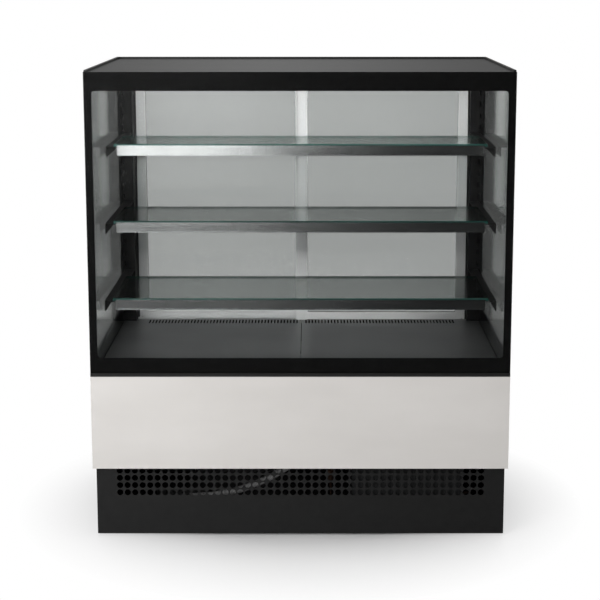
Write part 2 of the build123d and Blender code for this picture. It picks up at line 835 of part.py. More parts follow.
# Refrigerant pipes: hot gas to the condenser, suction back, and liquid through the drier
with BuildPart() as refrigerant_pipes:
    stub_z = plate_base + pipe_stub_height
    hot_gas_x = condenser_x[1] + pipe_offset
    suction_x = condenser_x[0] - 3 * pipe_offset
    liquid_x = condenser_x[0] - 2 * pipe_offset
    liquid_y = condenser_back_y - pipe_diameter
    liquid_z = condenser_z[0] + pipe_low_height
    drier_y = coil_mid_y + 2 * pipe_offset
    pipe_run(
        [
            (compressor_x + compressor_radius, compressor_y, stub_z),
            (hot_gas_x, compressor_y, stub_z),
            (hot_gas_x, coil_mid_y, stub_z),
            (condenser_x[1], coil_mid_y, stub_z),
        ]
    )
    pipe_run(
        [
            (compressor_x - compressor_radius, compressor_y, stub_z),
            (suction_x, compressor_y, stub_z),
            (suction_x, compressor_y, tub_base_height),
        ]
    )
    pipe_run(
        [
            (condenser_x[0], liquid_y, liquid_z),
            (liquid_x, liquid_y, liquid_z),
            (liquid_x, drier_y, liquid_z),
            (liquid_x, drier_y, tub_base_height),
        ]
    )
    with BuildSketch(Plane((liquid_x, drier_y, condenser_middle_z), x_dir=(1, 0, 0), z_dir=(0, -1, 0))):
        with BuildLine():
            Polyline(
                (0, 0),
                (drier_diameter / 2 - drier_chamfer, 0),
                (drier_diameter / 2, drier_chamfer),
                (drier_diameter / 2, drier_length - drier_chamfer),
                (drier_diameter / 2 - drier_chamfer, drier_length),
                (0, drier_length),
                close=True,
            )
        make_face()
    revolve(axis=Axis((liquid_x, drier_y, 0), (0, 0, 1)))
write("refrigerant_pipes", refrigerant_pipes.part)

# Fascia: one sheet folded under to meet the plinth
with BuildPart() as fascia_panel:
    folded_sheet(
        Plane.YZ.offset(-half_width),
        [
            (front_y, fascia_top),
            (front_y, fascia_base_height),
            (plinth_front_y + grille_sheet, fascia_base_height),
        ],
        sheet,
        case_width,
        Side.LEFT,
    )
write("fascia_panel", fascia_panel.part)

# Body side panels, folded under onto the plinth sides
for side_name, outward in (("left", -1), ("right", 1)):
    with BuildPart() as side_panel:
        folded_sheet(
            Plane.XZ.offset(-service_y + sheet),
            [
                (outward * half_width, fascia_top),
                (outward * half_width, fascia_base_height),
                (outward * (plinth_half - sheet), fascia_base_height),
            ],
            sheet,
            service_y - sheet - front_y - sheet,
            Side.LEFT if outward < 0 else Side.RIGHT,
        )
        block(
            sorted((outward * half_width, outward * (plinth_half - 2 * sheet))),
            (front_y, plinth_front_y + grille_sheet),
            (fascia_base_height, fascia_base_height + sheet),
            Mode.SUBTRACT,
        )
    write(f"side_panel_{side_name}", side_panel.part)

# Rear panel over the back of the tub
with BuildPart() as rear_panel:
    block((-half_width, half_width), (service_y - sheet, service_y), (fascia_base_height, fascia_top))
write("rear_panel", rear_panel.part)

# Deck panels: trays turned down to the tub wall, slotted along the back
air_slot_span = post_inner_x - air_slot_middle_margin - air_slot_post_margin - air_slot_width
air_slot_count = int(air_slot_span / air_slot_pitch) + 1
air_slot_reach = (air_slot_count - 1) * air_slot_pitch + air_slot_width
for side_name, outward in (("left", -1), ("right", 1)):
    with BuildPart() as deck_panel:
        deck_x = sorted((outward * deck_fit, outward * (inner_half - deck_fit)))
        deck_y = (front_inner_y + deck_air_gap, door_plane_y - deck_fit)
        block(deck_x, deck_y, (fascia_top, deck_top))
        block(
            sorted((outward * (post_inner_x - deck_fit), outward * inner_half)),
            (post_front_y - deck_fit, door_plane_y),
            (fascia_top, deck_top),
            Mode.SUBTRACT,
        )
        offset(amount=-deck_sheet, openings=deck_panel.faces().sort_by(Axis.Z)[0])
        slot_middle_x = outward * (air_slot_middle_margin + air_slot_reach / 2)
        with BuildSketch(Plane.XY.offset(deck_top)):
            with Locations((slot_middle_x, tub_inner_rear_y - air_slot_length / 2)):
                with GridLocations(air_slot_pitch, 0, air_slot_count, 1):
                    Rectangle(air_slot_width, air_slot_length)
        extrude(amount=-deck_sheet, mode=Mode.SUBTRACT)
    write(f"deck_panel_{side_name}", deck_panel.part)

# Glass sill: the trim bar that the front glazing stands on
with BuildPart() as glass_sill:
    bar(
        Plane.YZ.offset(-half_width),
        [
            (front_y, fascia_top),
            (front_y, sill_top),
            (front_inner_y + sill_lip, sill_top),
            (front_inner_y + sill_lip, sill_top - sill_height / 2),
            (front_inner_y + 2 * sill_lip, sill_top - sill_height / 2),
            (front_inner_y + 2 * sill_lip, fascia_top),
        ],
        case_width,
    )
    for outward in (-1, 1):
        block(
            sorted((outward * inner_half, outward * half_width)),
            (front_y + pane + glazing_gap, front_inner_y + 2 * sill_lip),
            (fascia_top, sill_top),
            Mode.SUBTRACT,
        )
write("glass_sill", glass_sill.part)

# Front glazing: outer pane, black border and inner pane
border_front_y = front_y + pane
border_back_y = border_front_y + glazing_gap
with BuildPart() as front_outer_pane:
    block((-half_width, half_width), (front_y, border_front_y), (sill_top, glass_top))
write("front_outer_pane", front_outer_pane.part)

with BuildPart() as front_border:
    with BuildSketch(facing_front(border_back_y)):
        with Locations((0, (sill_top + glass_top) / 2)):
            Rectangle(case_width, glass_top - sill_top)
        window_height = glass_top - border_top - sill_top - border_bottom
        with Locations((0, sill_top + border_bottom + window_height / 2)):
            RectangleRounded(
                case_width - 2 * border_side, window_height, window_corner, mode=Mode.SUBTRACT
            )
    extrude(amount=glazing_gap)
write("front_border", front_border.part)

with BuildPart() as front_inner_pane:
    block((-inner_half, inner_half), (border_back_y, front_inner_y), (sill_top, glass_top))
write("front_inner_pane", front_inner_pane.part)

# Side glazing: two panes each side with a black border between them
for side_name, outward in (("left", -1), ("right", 1)):
    with BuildPart() as side_panes:
        for outer_face in (half_width, inner_half + pane):
            block(
                sorted((outward * (outer_face - pane), outward * outer_face)),
                (border_back_y, back_y),
                (fascia_top, roof_base),
            )
    write(f"side_panes_{side_name}", side_panes.part)

with BuildPart() as side_borders:
    window_base = sill_top + border_bottom
    window_top = glass_top - border_top
    for outward in (-1, 1):
        gap_x = sorted((outward * (half_width - pane), outward * (inner_half + pane)))
        block(gap_x, (border_back_y, back_y), (fascia_top, roof_base))
        block(
            gap_x,
            (border_back_y + side_border_front, back_y - side_border_rear),
            (window_base, window_top),
            Mode.SUBTRACT,
        )
write("side_borders", side_borders.part)

# Roof: a tray with a raised rim at both sides and the back
with BuildPart() as roof_panel:
    block((-half_width, half_width), (front_inner_y, back_y), (roof_base, case_height))
    block(
        (-half_width + roof_rim_width, half_width - roof_rim_width),
        (front_inner_y, back_y - roof_rim_width),
        (roof_skin, case_height),
        Mode.SUBTRACT,
    )
    block(
        (-inner_half, inner_half),
        (front_inner_y, door_plane_y),
        (roof_base, roof_base + ceiling_thickness),
        Mode.SUBTRACT,
    )
write("roof_panel", roof_panel.part)

# Ceiling liner let into the underside of the roof
with BuildPart() as ceiling_panel:
    block(
        (-inner_half, inner_half),
        (front_inner_y, door_plane_y),
        (roof_base, roof_base + ceiling_thickness),
    )
write("ceiling_panel", ceiling_panel.part)

# Lamp: an extruded channel with a slanted lens face, under the ceiling behind the top border
with BuildPart() as led_lamp:
    bar(
        Plane.YZ.offset(-post_inner_x),
        [
            (front_inner_y, roof_base),
            (front_inner_y, roof_base - lamp_height),
            (front_inner_y + lamp_width / 3, roof_base - lamp_height),
            (front_inner_y + lamp_width, roof_base - lamp_height / 3),
            (front_inner_y + lamp_width, roof_base),
        ],
        2 * post_inner_x,
    )
write("led_lamp", led_lamp.part)

# Rear posts: rectangular tubes from the tub wall to the roof, slotted for the shelf arms
shelf_tops = [lowest_shelf_height + index * shelf_pitch for index in range(len(shelf_depths))]
slot_pitch = shelf_pitch / slots_per_shelf
arm_drop = shelf_glass + bracket_sheet
slot_low = lowest_shelf_height - arm_drop - bracket_rear_leg + slot_height
slot_count = int((roof_base - slot_height - slot_low) / slot_pitch)
slot_x = bracket_x - bracket_sheet / 2
for side_name, outward in (("left", -1), ("right", 1)):
    with BuildPart() as rear_post:
        block(
            sorted((outward * post_inner_x, outward * inner_half)),
            (post_front_y, back_y),
            (fascia_top, roof_base),
        )
        block(
            sorted((outward * (post_inner_x + post_wall), outward * (inner_half - post_wall))),
            (post_front_y + post_wall, back_y - post_wall),
            (fascia_top, roof_base),
            Mode.SUBTRACT,
        )
        with BuildSketch(facing_front(post_front_y + post_wall)):
            for index in range(slot_count):
                with Locations((outward * slot_x, slot_low + index * slot_pitch)):
                    Rectangle(slot_width, slot_height)
        extrude(amount=post_wall, mode=Mode.SUBTRACT)
    write(f"rear_post_{side_name}", rear_post.part)

# Shelf brackets: cantilever arms with a flange under the glass and hooks in the post slots
flange_inner_x = inner_half - shelf_glass_gap - shelf_glass
hook_reach = post_wall + bracket_sheet
with BuildPart() as shelf_brackets:
    for top, depth in zip(shelf_tops, shelf_depths):
        seat = top - shelf_glass
        leg_top = seat - bracket_sheet
        shelf_front_y = shelf_back_y - depth
        hook_slots = [
            slot_low + index * slot_pitch
            for index in range(slot_count)
            if leg_top - bracket_rear_leg < slot_low + index * slot_pitch - slot_height / 2
            and slot_low + index * slot_pitch + slot_height / 2 < leg_top + slot_height
        ]
        for outward in (-1, 1):
            leg_plane = Plane.YZ.offset(outward * bracket_x - (bracket_sheet if outward > 0 else 0))
            bar(
                leg_plane,
                [
                    (shelf_front_y, leg_top),
                    (shelf_front_y, leg_top - bracket_front_leg),
                    (post_front_y - bracket_taper_length, leg_top - bracket_front_leg),
                    (post_front_y, leg_top - bracket_rear_leg),
                    (post_front_y, leg_top),
                ],
                bracket_sheet,
            )
            for slot_middle in hook_slots:
                hook_top = min(slot_middle + slot_height / 2 - hook_gap, leg_top)
                hook_base = slot_middle - slot_height / 2 + hook_drop
                bar(
                    leg_plane,
                    [
                        (post_front_y, hook_base),
                        (post_front_y, hook_top),
                        (post_front_y + hook_reach, hook_top),
                        (post_front_y + hook_reach, slot_middle - slot_height / 2),
                        (post_front_y + post_wall, slot_middle - slot_height / 2),
                        (post_front_y + post_wall, hook_base),
                    ],
                    bracket_sheet,
                )
            block(
                sorted((outward * flange_inner_x, outward * bracket_x)),
                (shelf_front_y, post_front_y),
                (leg_top, seat),
            )
write("shelf_brackets", shelf_brackets.part)

# Shelf glass and the price rail clipped along each front edge
shelf_half = inner_half - shelf_glass_gap
rail_half = shelf_half - rail_end_gap
for shelf_name, top, depth in zip(shelf_names, shelf_tops, shelf_depths):
    shelf_front_y = shelf_back_y - depth
    with BuildPart() as shelf:
        block((-shelf_half, shelf_half), (shelf_front_y, shelf_back_y), (top - shelf_glass, top))
        chamfer(shelf.edges().filter_by(Axis.X).sort_by(Axis.Y)[:2], shelf_glass_chamfer)
    write(f"shelf_glass_{shelf_name}", shelf.part)
    with BuildPart() as shelf_rail:
        rail_top = top - rail_drop
        seat = top - shelf_glass
        rail_base = rail_top - rail_height
        bar(
            Plane.YZ.offset(-rail_half),
            [
                (shelf_front_y, rail_top),
                (shelf_front_y - rail_wall - rail_lip, rail_top),
                (shelf_front_y - rail_wall - rail_lip, rail_top - rail_lip),
                (shelf_front_y - rail_wall, rail_top - rail_lip),
                (shelf_front_y - rail_wall, rail_base + rail_lip),
                (shelf_front_y - rail_wall - rail_lip, rail_base + rail_lip),
                (shelf_front_y - rail_wall - rail_lip, rail_base),
                (shelf_front_y, rail_base),
                (shelf_front_y, seat - rail_wall),
                (shelf_front_y + rail_ledge, seat - rail_wall),
                (shelf_front_y + rail_ledge, seat),
                (shelf_front_y, seat),
            ],
            2 * rail_half,
        )
    write(f"shelf_rail_{shelf_name}", shelf_rail.part)

# Door sill and top track: webs with three ribs that make an inner and an outer channel
channel = (door_zone - 3 * track_rib) / 2
rib_starts = [door_plane_y + index * (channel + track_rib) for index in range(3)]
sill_web_top = fascia_top + track_web
with BuildPart() as door_sill:
    block((-post_inner_x, post_inner_x), (door_plane_y, back_y), (fascia_top, sill_web_top))
    for rib_y in rib_starts:
        block((-post_inner_x, post_inner_x), (rib_y, rib_y + track_rib), (sill_web_top, deck_top))
    block(
        (-guide_block[0] / 2, guide_block[0] / 2),
        (door_plane_y + track_rib - guide_block[2], door_plane_y + track_rib),
        (deck_top, deck_top + guide_block[1]),
    )
write("door_sill", door_sill.part)

with BuildPart() as door_top_track:
    block((-post_inner_x, post_inner_x), (door_plane_y, back_y), (roof_base - track_web, roof_base))
    for rib_y in rib_starts:
        block(
            (-post_inner_x, post_inner_x),
            (rib_y, rib_y + track_rib),
            (roof_base - track_cover, roof_base - track_web),
        )
write("door_top_track", door_top_track.part)

# Sliding doors: a frame of stiles and rails round a glazed unit, the left one in the rear channel
door_half_span = post_inner_x - door_end_gap
door_width = door_half_span + door_overlap / 2
door_base = sill_web_top + door_lift
door_head = roof_base - track_web - door_head_clearance
door_depth = channel - 2 * door_side_clearance
for side_name, outward, rib_y in (("right", 1, rib_starts[0]), ("left", -1, rib_starts[1])):
    door_front_y = rib_y + track_rib + door_side_clearance
    door_x = sorted((outward * door_half_span, outward * (door_half_span - door_width)))
    door_middle_x = sum(door_x) / 2
    glass_y = door_front_y + (door_depth - door_glass_thickness) / 2
    with BuildPart() as door_frame:
        block(door_x, (door_front_y, door_front_y + door_depth), (door_base, door_head))
        block(
            (door_x[0] + stile_width, door_x[1] - stile_width),
            (door_front_y, door_front_y + door_depth),
            (door_base + door_rail_height, door_head - door_rail_height),
            Mode.SUBTRACT,
        )
        block(
            (door_x[0] + stile_width - glass_rebate, door_x[1] - stile_width + glass_rebate),
            (glass_y, glass_y + door_glass_thickness),
            (door_base + door_rail_height - glass_rebate, door_head - door_rail_height + glass_rebate),
            Mode.SUBTRACT,
        )
        pocket_x = outward * (door_half_span - (stile_width - glass_rebate) / 2)
        pocket_plane = facing_rear(pocket_x, door_front_y + door_depth, handle_centre_height)
        with BuildSketch(pocket_plane):
            RectangleRounded(handle_pocket[0], handle_pocket[1], handle_corner)
        extrude(amount=-handle_pocket[2], mode=Mode.SUBTRACT)
        for end in (-1, 1):
            glide_x = door_middle_x + end * (door_width / 2 - glide_length)
            block(
                (glide_x - glide_length / 2, glide_x + glide_length / 2),
                (door_front_y + track_rib, door_front_y + door_depth - track_rib),
                (sill_web_top + slide_gap, door_base),
            )
    write(f"{side_name}_door_frame", door_frame.part)
    with BuildPart() as door_glass:
        block(
            (
                door_x[0] + stile_width - glass_rebate + glass_edge_gap,
                door_x[1] - stile_width + glass_rebate - glass_edge_gap,
            ),
            (glass_y, glass_y + door_glass_thickness),
            (
                door_base + door_rail_height - glass_rebate,
                door_head - door_rail_height + glass_rebate - glass_edge_gap,
            ),
        )
    write(f"{side_name}_door_glass", door_glass.part)
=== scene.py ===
"""Refrigerated pastry display case: finishes, fine pieces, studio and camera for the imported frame."""

import json
from math import pi, radians

import bpy
import numpy as np
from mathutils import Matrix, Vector


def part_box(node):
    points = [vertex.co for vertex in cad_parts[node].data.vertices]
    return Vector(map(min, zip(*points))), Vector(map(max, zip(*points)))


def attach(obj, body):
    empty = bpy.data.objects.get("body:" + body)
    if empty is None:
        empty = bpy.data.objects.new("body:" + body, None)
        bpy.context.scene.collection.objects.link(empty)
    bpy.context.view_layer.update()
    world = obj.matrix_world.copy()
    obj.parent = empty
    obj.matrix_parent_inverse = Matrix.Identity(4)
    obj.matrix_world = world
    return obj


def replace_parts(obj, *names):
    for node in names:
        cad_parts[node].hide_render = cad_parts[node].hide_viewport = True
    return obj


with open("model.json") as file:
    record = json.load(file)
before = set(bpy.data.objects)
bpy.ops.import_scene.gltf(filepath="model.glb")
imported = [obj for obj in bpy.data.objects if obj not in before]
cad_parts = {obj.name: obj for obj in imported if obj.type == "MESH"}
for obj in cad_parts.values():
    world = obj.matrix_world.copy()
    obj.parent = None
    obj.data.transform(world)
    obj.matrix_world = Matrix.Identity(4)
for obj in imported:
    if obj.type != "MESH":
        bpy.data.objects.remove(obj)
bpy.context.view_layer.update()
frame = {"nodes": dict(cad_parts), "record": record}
nodes = frame["nodes"]
mm = 0.001

# Camera: place in metres, pitch in degrees, sensor in millimetres, drop and slide as shares of the frame
camera_place = (0.028, -4.708, 1.609)
camera_pitch = 10
frame_pixels = 600
focal_pixels = 1556
sensor_width = 36
view_drop = -0.0756
view_slide = -0.0168

# Perforated grille
grille_hole_radius = 9 * mm
grille_pitch = 22 * mm
grille_columns = 49
grille_rows = 4
grille_lowest_row = 132 * mm
hole_segments = 24

# Drain hose: the route's points, from the tub's spigot to the tray
hose_route = [
    (0.040, -0.285, 0.290),
    (0.040, -0.285, 0.237),
    (-0.190, -0.285, 0.1005),
    (-0.330, -0.285, 0.1005),
]
hose_crest_radius = 11 * mm
hose_valley_radius = 9.6 * mm
hose_bore_radius = 8 * mm
hose_rib_pitch = 4.2 * mm
hose_cuff = 22 * mm
hose_segments = 28
rings_per_rib = 8
route_steps = 64
tangent_step = 1 * mm

# Glazing beads of the doors: the lap is how far in from the glass's edges a bead begins
bead_width = 3 * mm
bead_proud = 0.8 * mm
bead_lap = 7.5 * mm
bead_lap_low = 8 * mm

# Edge seals of the closing stiles: the valley is a share of the reach, the width one of the frame's depth
seal_reach = 5 * mm
seal_valley = 0.8
seal_ribs = 5
seal_points = 31
seal_width = 0.5
seal_gap_low = 2 * mm
seal_gap_high = 12 * mm

# Pan-head screws: rings and recess are shares of the radius, and rim and dome are shares of the height
screw_radius = 3 * mm
screw_height = 1.8 * mm
screw_rings = (0.28, 0.32, 0.6, 0.85, 1.0, 1.0)
screw_recess = 0.3
screw_rim = 0.35
screw_dome = 0.6
screw_sides = 20
screw_inset = 9 * mm

# Display window in the rear controls: the rim is a share of the rise
lens_offset = 66 * mm
lens_recess = 1.2 * mm
lens_half = (24.5 * mm, 11 * mm)
lens_rise = 0.9 * mm
lens_rim = 0.3
lens_columns = 25
lens_rows = 13

# Finishes: cycles of grain per metre along X, Y and Z, and the span of the noise that becomes 0 to 1
broad_grain = (60, 60, 60)
fine_grain = (900, 900, 900)
noise_span = (0.3, 0.7)
bump_depth = 0.05 * mm
coat_roughness = 0.15
white = (1, 1, 1, 1)

# Glass: cycles of haze per metre, the mirror's tint, and how dark the body's and the edge's tones get
haze_grain = (3, 3, 3)
mirror_tint = (0.95, 0.97, 0.96, 1)
mirror_power = 5.0
body_roughness = 0.25
body_dim = 0.85
edge_roughness = 0.2
edge_dim = 0.5
flat_face_limit = 0.8

# Lit lens: cycles of grain per metre, and how dark its tone gets
glow_grain = (20, 20, 20)
glow_roughness = (0.35, 0.5)
glow_dim = 0.9

# Sockets of the Mix node when it mixes colours
mix_share, mix_first, mix_second, mix_result = 0, 6, 7, 2

# Studio lamps: place, aim and size in metres, watts, and whether metal and glass mirror the lamp
studio_lamps = (
    ("card", (-1.75, -5.0, 1.6), (-0.6, -0.3, 1.1), (3.0, 2.4), 60, True),
    ("key", (-3.2, -4.0, 1.8), (0, -0.3, 0.6), (2.2, 2.2), 156, False),
    ("fill", (3.6, -3.6, 1.6), (0, -0.3, 0.6), (2.0, 2.0), 2, False),
    ("overhead", (0, 0.2, 3.4), (0, 0, 0.6), (3.0, 3.0), 55, False),
    ("rear", (0.8, 4.2, 2.2), (0, 0, 0.7), (2.5, 2.5), 70, False),
)

# The case's own lamp in two lengths: place along X and watts of each, and the aim's step along Y and Z
case_lamps = (("case_lamp_left", -0.28, 1.6), ("case_lamp_right", 0.28, 1.5))
case_lamp_aim = (0.7, -0.15)
case_lamp_size = (0.52, 0.02)
case_lamp_spread = 75

# Light that the deck throws back on the doors' bottom rails
bounce_place = (-0.06, -0.3, 0.565)
bounce_aim = (-0.06, 0.34, 0.545)
bounce_size = (0.95, 0.06)
bounce_power = 0.66
bounce_spread = 50

# Studio in reflections: two levels, then the two places or directions that they belong to
front_tones = (0.46, 0.045, -0.6, 0.4)
front_fade = (1.0, 0.0, -0.3, 0.1)
glow_middle = -0.03
glow_tones = (0.46, 0.22, 0.0, 0.14)
top_tones = (0.0, 0.6, 0.45, 0.9)
side_tones = (0.0, 0.6, 0.5, 0.9)
world_back = (0.0, 1.0, -0.2, 0.2)
floor_back = (0.0, 1.0, -0.3, 0.4)

# Even grey that lights the case from all round
world_light = (0.3, 0.3, 0.3, 1)

# Floor: half its width, and between which distances in metres its shadow fades to white
floor_half = 30
shadow_fade = (0.0, 1.0, 0.4, 0.88)
floor_grain = (2, 2, 2)
floor_levels = (0.9, 0.93)
floor_roughness = 0.8
floor_specular = 0.1


def socket(node, name):
    """First enabled input of that name."""
    return next(s for s in node.inputs if s.name == name and s.enabled)


class Tree:
    """Small helper that adds and links nodes of one node tree."""

    def __init__(self, tree):
        self.tree = tree

    def add(self, kind, values=(), **options):
        """New node with its options set and its named inputs fed."""
        node = self.tree.nodes.new(kind)
        for name, value in options.items():
            setattr(node, name, value)
        for name, value in dict(values).items():
            self.feed(value, socket(node, name))
        return node

    def feed(self, value, target):
        """Link a socket to the target, or set the target to a plain value."""
        if isinstance(value, bpy.types.NodeSocket):
            self.tree.links.new(value, target)
        else:
            target.default_value = value

    def math(self, operation, first, second=0.0):
        """Result of a Math node."""
        node = self.add("ShaderNodeMath", operation=operation)
        self.feed(first, node.inputs[0])
        self.feed(second, node.inputs[1])
        return node.outputs[0]

    def spread(self, value, low, high, start=0.0, stop=1.0):
        """Value carried from the span start to stop onto low to high, and held at the ends."""
        node = self.add("ShaderNodeMapRange", {"Value": value})
        node.inputs["From Min"].default_value = start
        node.inputs["From Max"].default_value = stop
        node.inputs["To Min"].default_value = low
        node.inputs["To Max"].default_value = high
        return node.outputs["Result"]

    def colours(self, share, first, second):
        """Colour between two by a share."""
        node = self.add("ShaderNodeMix", data_type="RGBA")
        self.feed(share, node.inputs[mix_share])
        self.feed(first, node.inputs[mix_first])
        self.feed(second, node.inputs[mix_second])
        return node.outputs[mix_result]

    def shaders(self, share, first, second):
        """Node that mixes two shader nodes by a share."""
        node = self.add("ShaderNodeMixShader", {"Fac": share})
        self.feed(first.outputs[0], node.inputs[1])
        self.feed(second.outputs[0], node.inputs[2])
        return node

    def split(self, vector):
        """Node with the X, Y and Z of a vector as its outputs."""
        node = self.add("ShaderNodeSeparateXYZ")
        self.feed(vector, node.inputs[0])
        return node


def make_grain():
    """Node group: noise over the object's own space, stretched by a vector, as a value from 0 to 1."""
    group = bpy.data.node_groups.new("grain", "ShaderNodeTree")
    sockets = (("INPUT", "Stretch", "Vector"), ("INPUT", "Detail", "Float"), ("OUTPUT", "Value", "Float"))
    for in_out, name, kind in sockets:
        group.interface.new_socket(name, in_out=in_out, socket_type=f"NodeSocket{kind}")
    tree = Tree(group)
    given, made = tree.add("NodeGroupInput"), tree.add("NodeGroupOutput")
    place = tree.add("ShaderNodeTexCoord").outputs["Object"]
    stretched = tree.add("ShaderNodeVectorMath", operation="MULTIPLY")
    tree.feed(place, stretched.inputs[0])
    tree.feed(given.outputs["Stretch"], stretched.inputs[1])
    noise = tree.add("ShaderNodeTexNoise", {"Vector": stretched.outputs[0], "Scale": 1.0})
    tree.feed(given.outputs["Detail"], noise.inputs["Detail"])
    tree.feed(tree.spread(noise.outputs["Fac"], 0.0, 1.0, *noise_span), made.inputs["Value"])
    return group


grain_group = make_grain()


def grain(tree, stretch, detail=3.0):
    """Grain value for a material, its stretch in cycles per metre along X, Y and Z."""
    node = tree.add("ShaderNodeGroup", node_tree=grain_group)
    node.inputs["Stretch"].default_value = stretch
    node.inputs["Detail"].default_value = detail
    return node.outputs["Value"]


def mirror_share(tree, straight_on):
    """Share of light a glass face sends back, f0 + (1 - f0) (1 - cos angle)^5."""
    facing = tree.add("ShaderNodeLayerWeight", {"Blend": 0.5}).outputs["Facing"]
    grazing = tree.math("POWER", facing, mirror_power)
    return tree.math("ADD", straight_on, tree.math("MULTIPLY", 1 - straight_on, grazing))


def sheet_edge(tree):
    """1 on a flat sheet's edges and 0 on its faces, which look along Z."""
    normal = tree.split(tree.add("ShaderNodeNewGeometry").outputs["True Normal"])
    return tree.math("LESS_THAN", tree.math("ABSOLUTE", normal.outputs["Z"]), flat_face_limit)


def new_material(name):
    """Material, the helper of its tree, its Principled shader and its output."""
    made = bpy.data.materials.new(name)
    made.use_nodes = True
    found = made.node_tree.nodes
    return made, Tree(made.node_tree), found["Principled BSDF"], found["Material Output"]


def grey(level):
    """Neutral colour of that level."""
    return (level, level, level)


def dimmed(colour, share):
    """Colour with each channel at a share of what it was."""
    return tuple(share * channel for channel in colour)


def surface(
    name,
    dark,
    light,
    rough,
    metallic=0.0,
    stretch=broad_grain,
    fine=fine_grain,
    bump=0.1,
    depth=bump_depth,
    specular=0.5,
    coat=0.0,
    edge_shade=None,
):
    """Opaque finish: broad change of colour, fine grain of roughness and bump, and a dark colour painted as
    shade on a flat sheet's edges.
    """
    made, tree, shader, _ = new_material(name)
    broad = grain(tree, stretch)
    small = grain(tree, fine)
    base = tree.colours(broad, (*dark, 1), (*light, 1))
    # Painted shade: the edges of a flat sheet, such as the walls of its slots, take a dark colour that stands
    # for the shade in them.
    if edge_shade:
        base = tree.colours(sheet_edge(tree), base, (*edge_shade, 1))
    tree.feed(base, shader.inputs["Base Color"])
    tree.feed(tree.spread(small, *rough), shader.inputs["Roughness"])
    raised = tree.add("ShaderNodeBump", {"Height": small, "Strength": bump, "Distance": depth})
    tree.feed(raised.outputs["Normal"], shader.inputs["Normal"])
    shader.inputs["Metallic"].default_value = metallic
    shader.inputs["Specular IOR Level"].default_value = specular
    shader.inputs["Coat Weight"].default_value = coat
    shader.inputs["Coat Roughness"].default_value = coat_roughness
    return made


def glass(name, tint, straight_on, body=0.0, body_colour=grey(0.5), edge=None, softness=0.08):
    """Flat glass: see-through with the mirror share of its angle, over a faint grey body and tinted edges."""
    made, tree, shader, output = new_material(name)
    haze = grain(tree, haze_grain, detail=1.0)
    clear = tree.add("ShaderNodeBsdfTransparent")
    clear.inputs["Color"].default_value = (*tint, 1)
    mirror = tree.add("ShaderNodeBsdfGlossy", {"Roughness": softness})
    mirror.inputs["Color"].default_value = mirror_tint
    darker = dimmed(body_colour, body_dim)
    tree.feed(tree.colours(haze, (*darker, 1), (*body_colour, 1)), shader.inputs["Base Color"])
    shader.inputs["Roughness"].default_value = body_roughness
    shown = tree.shaders(body, clear, shader)
    if edge:
        rim = tree.add("ShaderNodeBsdfPrincipled", {"Roughness": edge_roughness})
        darker = dimmed(edge, edge_dim)
        tree.feed(tree.colours(haze, (*darker, 1), (*edge, 1)), rim.inputs["Base Color"])
        shown = tree.shaders(sheet_edge(tree), shown, rim)
    mixed = tree.shaders(mirror_share(tree, straight_on), shown, mirror)
    tree.feed(mixed.outputs[0], output.inputs["Surface"])
    return made


def glow(name, colour, strength):
    """Lit lens: an opal plastic that gives light of its own, a little brighter in places."""
    made = surface(name, colour, colour, glow_roughness)
    tree = Tree(made.node_tree)
    shader = made.node_tree.nodes["Principled BSDF"]
    glowing = tree.colours(grain(tree, glow_grain), (*dimmed(colour, glow_dim), 1), (*colour, 1))
    tree.feed(glowing, shader.inputs["Emission Color"])
    shader.inputs["Emission Strength"].default_value = strength
    return made


